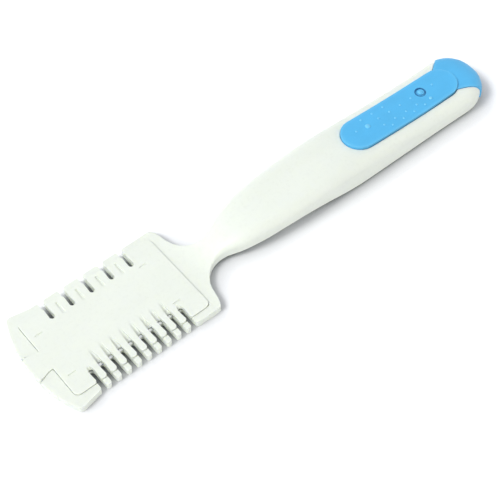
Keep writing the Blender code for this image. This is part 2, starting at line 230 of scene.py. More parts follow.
class StageSettings(bpy.types.PropertyGroup):
    """Camera, lamps and floor."""

    aim: bpy.props.FloatVectorProperty(
        name="Aim point",
        description="Point of the floor at the middle of the picture",
        subtype="TRANSLATION",
        unit="LENGTH",
        size=3,
        default=(-12.43 * MM, -6.39 * MM, 0.0),
    )
    distance: bpy.props.FloatProperty(
        name="Camera distance",
        description="Distance from the camera to the aim point",
        subtype="DISTANCE",
        unit="LENGTH",
        min=0.1,
        default=415.7 * MM,
    )
    elevation: bpy.props.FloatProperty(
        name="Camera elevation",
        description="Angle of the camera above the floor",
        subtype="ANGLE",
        unit="ROTATION",
        default=math.radians(55.6),
    )
    turn: bpy.props.FloatProperty(
        name="Camera turn",
        description="Turn of the camera round the upright axis",
        subtype="ANGLE",
        unit="ROTATION",
        default=math.radians(-39.57),
    )
    lens: bpy.props.FloatProperty(
        name="Focal length",
        description="Focal length of the camera in millimetres on a 36 mm sensor",
        subtype="DISTANCE_CAMERA",
        unit="CAMERA",
        min=20.0,
        default=93.6,
    )
    overhead: bpy.props.FloatProperty(
        name="Overhead light",
        description="Strength of the soft surroundings straight above",
        min=0.0,
        default=0.40,
    )
    around: bpy.props.FloatProperty(
        name="Level light",
        description="Strength of the soft surroundings at the height of the floor",
        min=0.0,
        default=0.82,
    )
    key: bpy.props.FloatProperty(
        name="Key lamp power",
        description="Power of the soft lamp at the upper left, in watts",
        subtype="POWER",
        unit="POWER",
        min=0.0,
        default=45.0,
    )
    key_width: bpy.props.FloatProperty(
        name="Key lamp width",
        description="Width of the square key lamp",
        subtype="DISTANCE",
        unit="LENGTH",
        min=0.01,
        default=0.90,
    )
    key_place: bpy.props.FloatVectorProperty(
        name="Key lamp place",
        description="Where the key lamp stands; it points at the middle of the comb",
        subtype="TRANSLATION",
        unit="LENGTH",
        size=3,
        default=(-1.80, 0.18, 2.16),
    )
    fill: bpy.props.FloatProperty(
        name="Fill lamp power",
        description="Power of the wide lamp on the camera's side, in watts",
        subtype="POWER",
        unit="POWER",
        min=0.0,
        default=2.05,
    )
    fill_width: bpy.props.FloatProperty(
        name="Wide lamp width",
        description="Width of the square fill and back lamps",
        subtype="DISTANCE",
        unit="LENGTH",
        min=0.01,
        default=0.80,
    )
    fill_place: bpy.props.FloatVectorProperty(
        name="Fill lamp place",
        description="Where the fill lamp stands; it points at the middle of the comb",
        subtype="TRANSLATION",
        unit="LENGTH",
        size=3,
        default=(0.05, -0.85, 0.20),
    )
    back: bpy.props.FloatProperty(
        name="Back lamp power",
        description="Power of the wide lamp behind the comb, in watts",
        subtype="POWER",
        unit="POWER",
        min=0.0,
        default=1.8,
    )
    back_place: bpy.props.FloatVectorProperty(
        name="Back lamp place",
        description="Where the back lamp stands; it points at the middle of the comb",
        subtype="TRANSLATION",
        unit="LENGTH",
        size=3,
        default=(-0.10, 0.84, 0.24),
    )
    # Reach of the painted shadow that the floor carries under the comb's edges
    contact: bpy.props.FloatProperty(
        name="Contact shade reach",
        description="How far the shade under the comb's edges spreads over the floor",
        subtype="DISTANCE",
        unit="LENGTH",
        min=0.1 * MM,
        default=8.0 * MM,
    )
    floor_colour: bpy.props.FloatVectorProperty(
        name="Floor colour",
        description="Colour of the floor under the comb",
        subtype="COLOR",
        size=3,
        min=0.0,
        max=1.0,
        default=(0.78, 0.79, 0.82),
    )


# Shader helpers


class Signal:
    """One socket of a material, which Python's own operators can work on."""

    def __init__(self, finish, socket):
        self.finish = finish
        self.socket = socket

    def __add__(self, other):
        return self.finish.maths("ADD", self, other)

    def __radd__(self, other):
        return self.finish.maths("ADD", other, self)

    def __sub__(self, other):
        return self.finish.maths("SUBTRACT", self, other)

    def __rsub__(self, other):
        return self.finish.maths("SUBTRACT", other, self)

    def __mul__(self, other):
        return self.finish.maths("MULTIPLY", self, other)

    def __rmul__(self, other):
        return self.finish.maths("MULTIPLY", other, self)

    def __neg__(self):
        return 0.0 - self

    def __abs__(self):
        return self.finish.add("ShaderNodeMath", {"operation": "ABSOLUTE"}, {"Value": self})


class Finish:
    """The node tree of one material or of the world, grown one node at a time."""

    def __init__(self, owner):
        owner.use_nodes = True
        self.tree = owner.node_tree
        self.tree.nodes.clear()

    def add(self, kind, settings=None, inputs=None, output=None):
        """Adds a node, sets its settings, then fills its sockets, and gives one output back."""
        node = self.tree.nodes.new(kind)
        for name, value in (settings or {}).items():
            setattr(node, name, value)
        sockets = {socket.identifier: socket for socket in node.inputs}
        for name, value in (inputs or {}).items():
            if isinstance(value, Signal):
                self.tree.links.new(value.socket, sockets[name])
            else:
                sockets[name].default_value = value
        given = {socket.identifier: socket for socket in node.outputs if socket.enabled}
        if not given:
            return None
        return Signal(self, given[output] if output else next(iter(given.values())))

    def maths(self, operation, first, second):
        """One step of arithmetic on two values."""
        return self.add(
            "ShaderNodeMath", {"operation": operation}, {"Value": first, "Value_001": second}
        )

    def vector_maths(self, operation, inputs, output="Vector"):
        """One step of arithmetic on vectors."""
        return self.add("ShaderNodeVectorMath", {"operation": operation}, inputs, output)

    def part(self, vector, axis):
        """How far a vector reaches along X, Y or Z."""
        return self.add("ShaderNodeSeparateXYZ", inputs={"Vector": vector}, output=axis)

    def place(self, kind="Object"):
        """Where on the comb, or in which direction, the shaded point lies."""
        return self.add("ShaderNodeTexCoord", output=kind)

    def marked_edge(self):
        """1 on the vertices that are marked as a rounded edge; on a dot, the strength of its
        painted highlight.
        """
        return self.add("ShaderNodeAttribute", {"attribute_name": EDGE_MARK}, output="Fac")

    def ramp(self, value, low, high):
        """0 below low, 1 above high, and an even rise between them."""
        return self.add(
            "ShaderNodeMapRange",
            {"clamp": True},
            {"Value": value, "From Min": low, "From Max": high, "To Min": 0.0, "To Max": 1.0},
        )

    def blend(self, mask, first, second):
        """The first colour where the mask is 0, the second where it is 1."""
        return self.add(
            "ShaderNodeMix",
            {"data_type": "RGBA"},
            {"Factor_Float": mask, "A_Color": first, "B_Color": second},
            "Result_Color",
        )

    def noise(self, place, size, detail=2.0, roughness=0.5):
        """Soft noise whose patches are about size across."""
        return self.add(
            "ShaderNodeTexNoise",
            inputs={"Vector": place, "Scale": 1.0 / size, "Detail": detail, "Roughness": roughness},
        )

    def stretched(self, place, scale):
        """The place with its axes scaled, which draws noise out along an axis scaled down."""
        return self.add("ShaderNodeMapping", inputs={"Vector": place, "Scale": scale})

    def openness(self, reach, settings, direction=None):
        """1 where nothing lies within reach of the surface, down to 0 where it is closed in."""
        inputs = {"Distance": reach}
        if direction:
            inputs["Normal"] = direction
        return self.add("ShaderNodeAmbientOcclusion", settings, inputs, "AO")

    def bump(self, height, depth, normal=None):
        """The normal of a surface that rises by depth where the height is 1."""
        inputs = {"Height": height, "Distance": depth, "Strength": 1.0}
        if normal:
            inputs["Normal"] = normal
        return self.add("ShaderNodeBump", inputs=inputs)

    def surface(self, inputs):
        """Ends a material with one shader."""
        shader = self.add("ShaderNodeBsdfPrincipled", inputs=inputs)
        self.add("ShaderNodeOutputMaterial", inputs={"Surface": shader})


def swing(noise, width):
    """A noise that swings to both sides of 0, over about the width given."""
    return width * (noise - NOISE_MEAN)


def opaque(colour, level=1.0):
    """A colour with full alpha, its brightness scaled by level."""
    return tuple(min(1.0, channel * level) for channel in colour) + (1.0,)


def grey(level):
    """An even grey with full alpha."""
    return (level, level, level, 1.0)


WHITE = grey(1.0)
BLACK = grey(0.0)

# The mark that the shapes carry for the finishes: 1 on rounded edges, and on a dot the strength of
# its painted highlight
EDGE_MARK = "edge"

NOISE_MEAN = 0.5
FINE_DETAIL = 3.0
COARSE_ROUGHNESS = 0.6
OPENNESS_SAMPLES = 8


# Finishes. In the values below, a range says at which level a mark begins and at which it is
# full, a strength how much of its colour shows, a swing how far a noise changes the dullness, and
# a depth how far its bumps rise.


SPECKLE_IN_GRAINS = 3.2
SPECKLE_RANGE = (0.52, 0.74)
SPECKLE_STRENGTH = 0.10
GRAIN_SWING = 0.10
GRAIN_DEPTH = 0.010 * MM
FLOW_SIZE = 9.0 * MM
FLOW_STRETCH = (0.35, 1.0, 1.0)
FLOW_RANGE = (0.30, 0.72)
FLOW_LEVELS = (0.985, 1.015)
FLOW_DEPTH = 0.050 * MM
HANDLED_SIZE = 22.0 * MM
HANDLED_SWING = 0.12
RUBBED_RANGE = (0.40, 0.62)
RUBBED_LEVEL = 0.93
RUBBED_STRENGTH = 0.35
RUBBED_GLOSS = 0.10
# Painted shade in grooves and slots: how far round a point it looks, where it begins and is full,
# how strongly it darkens, and how much duller it makes them
CREVICE_REACH = 1.6 * MM
CREVICE_RANGE = (0.30, 0.95)
CREVICE_SHADE_STRENGTH = 0.20
CREVICE_DULLNESS = 0.10
PLASTIC_IOR = 1.49
MILKINESS = 0.5
MILKY_TINT = (1.0, 1.0, 0.8)
MILKY_REACH = 0.7 * MM


def moulded_plastic(name, settings):
    """White moulded plastic: fine mould grain, slow flow marks, rubbed edges and painted shade in
    duller grooves.
    """
    material = bpy.data.materials.new(name)
    finish = Finish(material)
    place = finish.place()
    grain = finish.noise(place, settings.grain_size, FINE_DETAIL)
    speckle = finish.noise(place, SPECKLE_IN_GRAINS * settings.grain_size)
    flow = finish.noise(
        finish.stretched(place, FLOW_STRETCH), FLOW_SIZE, FINE_DETAIL, COARSE_ROUGHNESS
    )
    handled = finish.noise(place, HANDLED_SIZE)
    open_air = finish.openness(CREVICE_REACH, {"samples": OPENNESS_SAMPLES, "only_local": True})
    painted_crevice_shade = finish.ramp(1.0 - open_air, *CREVICE_RANGE)
    rubbed = finish.marked_edge() * finish.ramp(handled, *RUBBED_RANGE)
    speckled = finish.ramp(speckle, *SPECKLE_RANGE)
    shade = opaque(settings.shade)
    dull_flow, bright_flow = (opaque(settings.colour, level) for level in FLOW_LEVELS)
    tone = finish.blend(finish.ramp(flow, *FLOW_RANGE), dull_flow, bright_flow)
    tone = finish.blend(SPECKLE_STRENGTH * speckled, tone, shade)
    # Painted shade: the plastic darkens towards the crevice colour where it is closed in
    tone = finish.blend(CREVICE_SHADE_STRENGTH * painted_crevice_shade, tone, shade)
    tone = finish.blend(RUBBED_STRENGTH * rubbed, tone, grey(RUBBED_LEVEL))
    dullness = settings.roughness + swing(grain, GRAIN_SWING) + swing(handled, HANDLED_SWING)
    dullness = dullness + CREVICE_DULLNESS * painted_crevice_shade - RUBBED_GLOSS * rubbed
    relief = finish.bump(grain, GRAIN_DEPTH)
    relief = finish.bump(flow, FLOW_DEPTH, relief)
    finish.surface(
        {
            "Base Color": tone,
            "Roughness": dullness,
            "Normal": relief,
            "IOR": PLASTIC_IOR,
            "Subsurface Weight": MILKINESS,
            "Subsurface Radius": MILKY_TINT,
            "Subsurface Scale": MILKY_REACH,
        }
    )
    return material


PORE_SIZE = 0.28 * MM
PORE_RANGE = (0.54, 0.72)
PORE_STRENGTH = 0.10
PORE_SWING = 0.12
PORE_DEPTH = 0.014 * MM
CLOUD_SIZE = 6.0 * MM
CLOUD_STRETCH = (0.6, 1.0, 1.0)
CLOUD_RANGE = (0.30, 0.72)
CLOUD_LEVELS = (0.96, 1.04)
CLOUD_DEPTH = 0.040 * MM
THUMBED_SIZE = 14.0 * MM
THUMBED_SWING = 0.14

# How far a face has turned from level for its rim to lighten, as thin rubber and as painted
# highlight, and to count as a wall
TURNED_RANGE = (0.015, 0.16)
WALL_RANGE = (0.45, 0.85)
# How far it faces the comb's tip, the side that the key lamp lights, where the rim's painted
# highlight is strongest: the level there and away from it
TO_TIP_RANGE = (0.15, 0.60)
TURNED_AWAY, TURNED_LIT_SIDE_HIGHLIGHT = 0.15, 0.75
RIM_AWAY, RIM_LIT_SIDE_HIGHLIGHT = 0.40, 0.60

RIM_DEPTH = 1.4 * MM
RIM_RANGE = (0.05, 0.60)
# How strongly the rim lightens, partly where the rubber thins and partly as painted highlight
THIN_AND_HIGHLIGHT_STRENGTH = 0.75
THIN_GLOSS = 0.08
# Painted shade on the walls that face away from the tip and its lamp
WALL_SHADE_LEVEL = 0.42
WALL_SHADE_STRENGTH = 0.40
# Painted shade in the seams where the grip is closed in, weaker on the lit tip side
SEAM_REACH = 0.8 * MM
SEAM_RANGE = (0.20, 0.75)
SEAM_SHADE_LEVEL = 0.38
SEAM_SHADE_STRENGTH = 0.80
SEAM_SHADE_LOSS_ON_LIT_SIDE = 0.7
# Painted shade in the groove round the ring's button: how far from the groove's middle it fades,
# its colour and its strength
RING_RANGE = (0.12 * MM, 0.32 * MM)
RING_SHADE_COLOUR = (0.006, 0.130, 0.330, 1.0)
RING_SHADE_STRENGTH = 0.95
GRIP_DULLNESS = 0.52
GRIP_IOR = 1.45
GRIP_SHEEN = 0.12
GRIP_SHEEN_DULLNESS = 0.45


def soft_rubber(name, settings, ring, ring_radius):
    """Sky-blue soft grip: satin skin, pores, a rim lighter where thin, painted highlight and
    painted shade.
    """
    material = bpy.data.materials.new(name)
    finish = Finish(material)
    place = finish.place()
    pores = finish.noise(place, PORE_SIZE, FINE_DETAIL)
    clouds = finish.noise(
        finish.stretched(place, CLOUD_STRETCH), CLOUD_SIZE, FINE_DETAIL, COARSE_ROUGHNESS
    )
    thumbed = finish.noise(place, THUMBED_SIZE)
    outward = finish.add("ShaderNodeNewGeometry", output="Normal")
    upright = finish.part(outward, "Z")
    # How far a face looks towards the tip, the side that the key lamp lights, for the painted
    # highlight and shade
    painted_lit_side = finish.ramp(-finish.part(outward, "X"), *TO_TIP_RANGE)
    turned = finish.ramp(1.0 - upright, *TURNED_RANGE)
    wall = finish.ramp(1.0 - upright, *WALL_RANGE)
    thickness = finish.openness(
        RIM_DEPTH, {"samples": OPENNESS_SAMPLES, "inside": True, "only_local": True}
    )
    rim = finish.ramp(1.0 - thickness, *RIM_RANGE)
    open_air = finish.openness(SEAM_REACH, {"samples": OPENNESS_SAMPLES})
    seam = finish.ramp(1.0 - open_air, *SEAM_RANGE)
    from_ring = finish.vector_maths("SUBTRACT", {"Vector": place, "Vector_001": ring})
    level_only = finish.vector_maths(
        "MULTIPLY", {"Vector": from_ring, "Vector_001": (1.0, 1.0, 0.0)}
    )
    distance = finish.vector_maths("LENGTH", {"Vector": level_only}, "Value")
    painted_ring_shade = 1.0 - finish.ramp(abs(distance - ring_radius), *RING_RANGE)
    # Painted highlight: the rim and the dots lighten, most on the lamp-lit tip side, and partly
    # where the rubber thins
    thin_and_painted_highlight = finish.maths(
        "MAXIMUM", turned * (TURNED_AWAY + TURNED_LIT_SIDE_HIGHLIGHT * painted_lit_side), finish.marked_edge()
    )
    thin_and_painted_highlight = finish.maths("MAXIMUM", thin_and_painted_highlight, rim * (RIM_AWAY + RIM_LIT_SIDE_HIGHLIGHT * painted_lit_side))
    pored = finish.ramp(pores, *PORE_RANGE)
    speck_and_highlight_colour = opaque(settings.speck_rim_and_highlight_colour)
    dull_cloud, bright_cloud = (opaque(settings.colour, level) for level in CLOUD_LEVELS)
    tone = finish.blend(finish.ramp(clouds, *CLOUD_RANGE), dull_cloud, bright_cloud)
    tone = finish.blend(PORE_STRENGTH * pored, tone, speck_and_highlight_colour)
    tone = finish.blend(THIN_AND_HIGHLIGHT_STRENGTH * (thin_and_painted_highlight * (1.0 - wall)), tone, speck_and_highlight_colour)
    # Painted shade: walls turned away from the lit tip side darken
    tone = finish.blend(
        WALL_SHADE_STRENGTH * (wall * (1.0 - painted_lit_side)), tone, opaque(settings.colour, WALL_SHADE_LEVEL)
    )
    # Painted shade in the seams round the grip
    tone = finish.blend(
        SEAM_SHADE_STRENGTH * (seam * (1.0 - SEAM_SHADE_LOSS_ON_LIT_SIDE * painted_lit_side)),
        tone,
        opaque(settings.colour, SEAM_SHADE_LEVEL),
    )
    # Painted shade in the ring's groove
    tone = finish.blend(RING_SHADE_STRENGTH * painted_ring_shade, tone, RING_SHADE_COLOUR)
    dullness = GRIP_DULLNESS + swing(pores, PORE_SWING) + swing(thumbed, THUMBED_SWING)
    dullness = dullness - THIN_GLOSS * thin_and_painted_highlight
    relief = finish.bump(pores, PORE_DEPTH)
    relief = finish.bump(clouds, CLOUD_DEPTH, relief)
    finish.surface(
        {
            "Base Color": tone,
            "Roughness": dullness,
            "Normal": relief,
            "IOR": GRIP_IOR,
            "Sheen Weight": GRIP_SHEEN,
            "Sheen Roughness": GRIP_SHEEN_DULLNESS,
        }
    )
    return material


BRUSH_SIZE = 0.10 * MM
BRUSH_STRETCH = (0.02, 1.0, 1.0)
BRUSH_DETAIL = 4.0
BRUSH_ROUGHNESS = 0.65
BRUSH_RANGE = (0.30, 0.70)
BRUSH_LEVELS = (0.90, 1.06)
BRUSH_SWING = 0.16
BRUSH_DEPTH = 0.0020 * MM
GRIND_SIZE = 0.06 * MM
GRIND_STRETCH = (1.0, 0.04, 1.0)
GRIND_SWING = 0.06
GRIND_DEPTH = 0.0015 * MM
STAIN_SIZE = 5.0 * MM
STAIN_RANGE = (0.55, 0.75)
STAIN_COLOUR = (0.52, 0.50, 0.44, 1.0)
STAIN_STRENGTH = 0.25
STAIN_SWING = 0.10
BAND_BLUR = 0.03 * MM
BAND_STRENGTH = 0.90
BAND_GLOSS = 0.08
HONED_START, HONED_FULL = 0.28 * MM, 0.20 * MM
HONED_LEVEL = 1.10
HONED_STRENGTH = 0.40
STEEL_DULLNESS = 0.30


def honed_steel(name, settings, half_width):
    """Brushed blade steel with bright ground bands along both cutting edges."""
    material = bpy.data.materials.new(name)
    finish = Finish(material)
    place = finish.place()
    outward = abs(finish.part(place, "Y"))
    brushed = finish.noise(
        finish.stretched(place, BRUSH_STRETCH), BRUSH_SIZE, BRUSH_DETAIL, BRUSH_ROUGHNESS
    )
    ground = finish.noise(
        finish.stretched(place, GRIND_STRETCH), GRIND_SIZE, FINE_DETAIL, COARSE_ROUGHNESS
    )
    stain = finish.noise(place, STAIN_SIZE, FINE_DETAIL, COARSE_ROUGHNESS)
    start = half_width - settings.ground_width
    band = finish.ramp(outward, start - BAND_BLUR, start + BAND_BLUR)
    honed = finish.ramp(outward, half_width - HONED_START, half_width - HONED_FULL)
    stained = finish.ramp(stain, *STAIN_RANGE)
    dull_brush, bright_brush = (opaque(settings.colour, level) for level in BRUSH_LEVELS)
    tone = finish.blend(finish.ramp(brushed, *BRUSH_RANGE), dull_brush, bright_brush)
    tone = finish.blend(STAIN_STRENGTH * stained, tone, STAIN_COLOUR)
    tone = finish.blend(BAND_STRENGTH * band, tone, opaque(settings.edge_colour))
    tone = finish.blend(HONED_STRENGTH * honed, tone, opaque(settings.colour, HONED_LEVEL))
    dullness = STEEL_DULLNESS + swing(brushed, BRUSH_SWING) + swing(stain, STAIN_SWING)
    dullness = dullness - BAND_GLOSS * band + swing(ground, GRIND_SWING)
    relief = finish.bump(brushed, BRUSH_DEPTH)
    relief = finish.bump(ground * band, GRIND_DEPTH, relief)
    finish.surface({"Base Color": tone, "Roughness": dullness, "Normal": relief, "Metallic": 1.0})
    return material


# Pieces


# Corners of a plain solid that lie closer together than this become one
MERGE_REACH = {
    "comb_body": 0.03 * MM,
    "comb_cover": 0.05 * MM,
    "razor_blade": 0.001 * MM,
    "grip_insert": 0.03 * MM,
}
# Faces that meet at less than the first angle are one flat face, over the second a sharp edge
FLAT_ANGLE = math.radians(0.4)
SHARP_ANGLE = math.radians(28)
ROUND_STEPS = 2
TURNED_MARK = "turned"
# How far the normal of an upright wall may reach up or down
WALL_SLOPE = 0.3


def settle(name, shape, material, body):
    """Makes an object of a finished mesh and lets it ride on a body."""
    mesh = bpy.data.meshes.new(name)
    turn = shape.faces.layers.int.get(TURNED_MARK)
    if turn:
        shape.normal_update()
        directions = [facing(vertex, turn) for vertex in shape.verts]
        for face in shape.faces:
            face.smooth = True
    shape.to_mesh(mesh)
    shape.free()
    if turn:
        mesh.normals_split_custom_set_from_vertices(directions)
    mesh.materials.append(material)
    mesh.update()
    piece = bpy.data.objects.new(name, mesh)
    bpy.context.scene.collection.objects.link(piece)
    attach(piece, body)
    return piece


def cleaned(node):
    """A mesh like a plain solid's, with its close corners joined and its flat faces whole."""
    merge = MERGE_REACH[node]
    shape = bmesh.new()
    shape.from_mesh(frame["nodes"][node].data)
    bmesh.ops.remove_doubles(shape, verts=shape.verts, dist=merge)
    bmesh.ops.dissolve_degenerate(shape, dist=merge, edges=shape.edges)
    bmesh.ops.dissolve_limit(
        shape, angle_limit=FLAT_ANGLE, verts=shape.verts, edges=shape.edges
    )
    return shape


def rounded(shape, radius):
    """Rounds the sharp edges over and marks the roundings as edge."""
    mark = shape.verts.layers.float.new(EDGE_MARK)
    turn = shape.faces.layers.int.new(TURNED_MARK)
    sharp = [
        edge
        for edge in shape.edges
        if edge.is_manifold and edge.calc_face_angle() > SHARP_ANGLE
    ]
    made = bmesh.ops.bevel(
        shape,
        geom=sharp,
        offset=radius,
        offset_type="OFFSET",
        segments=ROUND_STEPS,
        profile=0.5,
        affect="EDGES",
        clamp_overlap=False,
        loop_slide=False,
    )
    turned = set(made["faces"])
    for vertex in made["verts"]:
        vertex[mark] = 1.0 if all(face in turned for face in vertex.link_faces) else 0.0
    for face in turned:
        face[turn] = 1
    bmesh.ops.triangulate(
        shape, faces=[face for face in shape.faces if len(face.verts) > 4]
    )
    put_in_order(shape)
    return shape


def put_in_order(shape):
    """Sorts a mesh's corners, edges and faces by their places, so that each run gives the same."""
    for items, place in (
        (shape.verts, lambda vertex: vertex.co[:]),
        (shape.edges, lambda edge: sorted(vertex.index for vertex in edge.verts)),
        (shape.faces, lambda face: sorted(vertex.index for vertex in face.verts)),
    ):
        for number, item in enumerate(sorted(items, key=place)):
            item.index = number
        items.sort()


def facing(vertex, turn):
    """The shading direction at a vertex, which follows the large faces and not the roundings."""
    plain = [face for face in vertex.link_faces if not face[turn]]
    total = Vector((0.0, 0.0, 0.0))
    for face in plain or vertex.link_faces:
        total += face.normal * face.calc_area()
    return total.normalized()


def swell(shape, reach, chosen):
    """Moves the chosen corners of upright walls out by reach, which narrows the seam there."""
    shape.normal_update()
    moves = {}
    for vertex in shape.verts:
        walls = [face.normal for face in vertex.link_faces if abs(face.normal.z) < WALL_SLOPE]
        if walls and chosen(vertex.co):
            push = sum(walls, Vector())
            push.z = 0.0
            moves[vertex] = push.normalized() * reach
    for vertex, move in moves.items():
        vertex.co += move


def node_body(node):
    """The name of the body that a plain solid rides on."""
    bodies = frame["record"]["behaviour"]["bodies"]
    return next(body for body, members in bodies.items() if node in members)


class COMB_OT_body(bpy.types.Operator):
    """Replaces the comb's plain body with a softened moulding in white plastic"""

    bl_idname = "comb.body"
    bl_label = "Comb body"

    def execute(self, context):
        plastic = context.scene.comb_plastic
        shape = rounded(cleaned("comb_body"), plastic.edge_radius)
        material = moulded_plastic("white_plastic_body", plastic)
        piece = settle("moulded_body", shape, material, node_body("comb_body"))
        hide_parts("comb_body")
        return {"FINISHED"}


# The cover's length without its tab, and how far in from its outline a corner still lies on it
COVER_LENGTH = 50.0 * MM
COVER_RIM = 1.2 * MM


class COMB_OT_cover(bpy.types.Operator):
    """Replaces the plain cover with a softened moulding in white plastic"""

    bl_idname = "comb.cover"
    bl_label = "Blade cover"

    def execute(self, context):
        plastic = context.scene.comb_plastic
        low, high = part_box("comb_cover")
        front = high.x - COVER_LENGTH + COVER_RIM
        back = high.x - COVER_RIM
        side = high.y - COVER_RIM

        def on_outline(corner):
            if corner.x < low.x + COVER_RIM:
                return False
            return corner.x < front or corner.x > back or abs(corner.y) > side

        shape = cleaned("comb_cover")
        swell(shape, plastic.seam_swell, on_outline)
        shape = rounded(shape, plastic.edge_radius)
        material = moulded_plastic("white_plastic_cover", plastic)
        piece = settle("moulded_cover", shape, material, node_body("comb_cover"))
        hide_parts("comb_cover")
        return {"FINISHED"}


# How much of the blade's thickness the grinding takes off at its very edge, and how far past the
# start of the ground band a corner lies to be moved by it
GROUND_SHARE = 0.85
BAND_SLACK = 0.01 * MM


class COMB_OT_blade(bpy.types.Operator):
    """Replaces the plain blade with one whose two long edges are ground"""

    bl_idname = "comb.blade"
    bl_label = "Two-edged blade"

    def execute(self, context):
        steel = context.scene.comb_blade
        low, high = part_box("razor_blade")
        half_width = (high.y - low.y) / 2
        middle = (high.z + low.z) / 2
        start = half_width - steel.ground_width
        shape = cleaned("razor_blade")
        for side in (-1, 1):
            bmesh.ops.bisect_plane(
                shape,
                geom=shape.verts[:] + shape.edges[:] + shape.faces[:],
                plane_co=(0.0, side * start, 0.0),
                plane_no=(0.0, 1.0, 0.0),
            )
        for vertex in shape.verts:
            depth = abs(vertex.co.y) - start
            if depth > BAND_SLACK:
                share = min(1.0, depth / steel.ground_width)
                vertex.co.z = middle + (vertex.co.z - middle) * (1 - GROUND_SHARE * share)
        material = honed_steel("honed_blade_steel", steel, half_width)
        piece = settle("ground_blade", shape, material, node_body("razor_blade"))
        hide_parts("razor_blade")
        return {"FINISHED"}


# The grip. A spot says how far along it from its start, and how far to the side, something lies.
# The ring is the groove round a button; the tongue is the long part before the cap.
TONGUE_SPAN = 41.0 * MM
RING_SPOT = (35.0 * MM, 1.0 * MM)
RING_RADIUS = 1.8 * MM
STUD_SPOT = (10.4 * MM, 0.5 * MM)
PIP_SPOT = (35.9 * MM, -3.1 * MM)

# Rows of dots: how far the row lies to the side, how far from the grip's start its first dot
# lies, and how many dots it has. A gap is left for each of the buttons below.
DOT_ROWS = (
    (3.9 * MM, 10.4 * MM, 3),
    (1.0 * MM, 5.8 * MM, 8),
    (-2.3 * MM, 15.4 * MM, 5),
    (-4.0 * MM, 17.7 * MM, 4),
)
# Strength of the painted highlight on each dot
DOT_HIGHLIGHT = 0.65
GAP_IN_STUDS = 2.4

# Stud, ring's button and pip: the spot, the radius that it follows and the share of it, its height
# as a share of a dot's, and the strength of its painted highlight
BUTTONS = (
    (STUD_SPOT, "stud_radius", 1.0, 1.6, 0.75),
    (RING_SPOT, "stud_radius", 0.8, 1.4, 0.30),
    (PIP_SPOT, "dot_radius", 1.5, 1.4, 1.0),
)

DOME_SIDES = 16
DOME_RINGS = 4
DOME_FOOT = 0.05 * MM


class COMB_OT_grip(bpy.types.Operator):
    """Replaces the plain grip insert with a softened one in sky-blue rubber"""

    bl_idname = "comb.grip"
    bl_label = "Soft grip"

    def execute(self, context):
        rubber = context.scene.comb_grip
        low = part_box("grip_insert")[0]

        def on_tongue(corner):
            along = corner.x - low.x
            from_ring = math.dist((along, corner.y), RING_SPOT)
            return along < TONGUE_SPAN and from_ring > 2 * RING_RADIUS

        shape = cleaned("grip_insert")
        swell(shape, rubber.swell, on_tongue)
        shape = rounded(shape, rubber.edge_radius)
        ring = (low.x + RING_SPOT[0], RING_SPOT[1], 0.0)
        material = soft_rubber("soft_blue_grip", rubber, ring, RING_RADIUS)
        piece = settle("soft_insert", shape, material, node_body("grip_insert"))
        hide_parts("grip_insert")
        return {"FINISHED"}


def dome(shape, mark, foot, up, radius, height, painted_highlight):
    """Adds one closed dome that stands on foot, sunk in a little, and points along up."""
    turn = up.to_track_quat("Z", "Y").to_matrix().to_4x4()
    stand = Matrix.Translation(foot) @ turn
    loops = []
    for ring in range(DOME_RINGS):
        angle = math.pi / 2 * ring / DOME_RINGS
        reach = radius * math.cos(angle)
        rise = (height + DOME_FOOT) * math.sin(angle) - DOME_FOOT
        loop = []
        for side in range(DOME_SIDES):
            around = 2 * math.pi * side / DOME_SIDES
            spot = Vector((reach * math.cos(around), reach * math.sin(around), rise))
            loop.append(shape.verts.new(stand @ spot))
        loops.append(loop)
    top = shape.verts.new(stand @ Vector((0.0, 0.0, height)))
    # The dome's top and upper rings carry the strength of its painted highlight
    top[mark] = painted_highlight
    for loop in loops[1:]:
        for vertex in loop:
            vertex[mark] = painted_highlight
    shape.faces.new(list(reversed(loops[0])))
    for lower, upper in zip(loops, loops[1:]):
        for side in range(DOME_SIDES):
            following = (side + 1) % DOME_SIDES
            shape.faces.new((lower[side], lower[following], upper[following], upper[side]))
    for side in range(DOME_SIDES):
        shape.faces.new((loops[-1][side], loops[-1][(side + 1) % DOME_SIDES], top))


class COMB_OT_dots(bpy.types.Operator):
    """Adds the rows of raised dots and the larger buttons on the soft grip"""

    bl_idname = "comb.dots"
    bl_label = "Grip dots"

    def execute(self, context):
        rubber = context.scene.comb_grip
        grip = bpy.data.objects["soft_insert"].data
        skin = BVHTree.FromPolygons(
            [vertex.co for vertex in grip.vertices], [face.vertices for face in grip.polygons]
        )
        low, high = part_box("grip_insert")
        gap = GAP_IN_STUDS * rubber.stud_radius
        sizes = []
        for aside, first, count in DOT_ROWS:
            for number in range(count):
                spot = (first + number * rubber.dot_pitch, aside)
                if min(math.dist(spot, button[0]) for button in BUTTONS) > gap:
                    sizes.append((spot, rubber.dot_radius, rubber.dot_height, DOT_HIGHLIGHT))
        for spot, follows, share, rise, painted_highlight in BUTTONS:
            radius = share * getattr(rubber, follows)
            sizes.append((spot, radius, rise * rubber.dot_height, painted_highlight))
        shape = bmesh.new()
        mark = shape.verts.layers.float.new(EDGE_MARK)
        for (along, aside), radius, height, painted_highlight in sizes:
            above = Vector((low.x + along, aside, high.z + MM))
            foot, up, face, drop = skin.ray_cast(above, Vector((0.0, 0.0, -1.0)))
            if foot is None:
                raise RuntimeError("A dot lies beside the grip")
            dome(shape, mark, foot, up, radius, height, painted_highlight)
        for face in shape.faces:
            face.smooth = len(face.verts) < 5
        material = bpy.data.materials["soft_blue_grip"]
        settle("grip_dots", shape, material, node_body("grip_insert"))
        return {"FINISHED"}


# Stage


SENSOR_WIDTH = 36.0
NEAREST_SEEN = 0.01

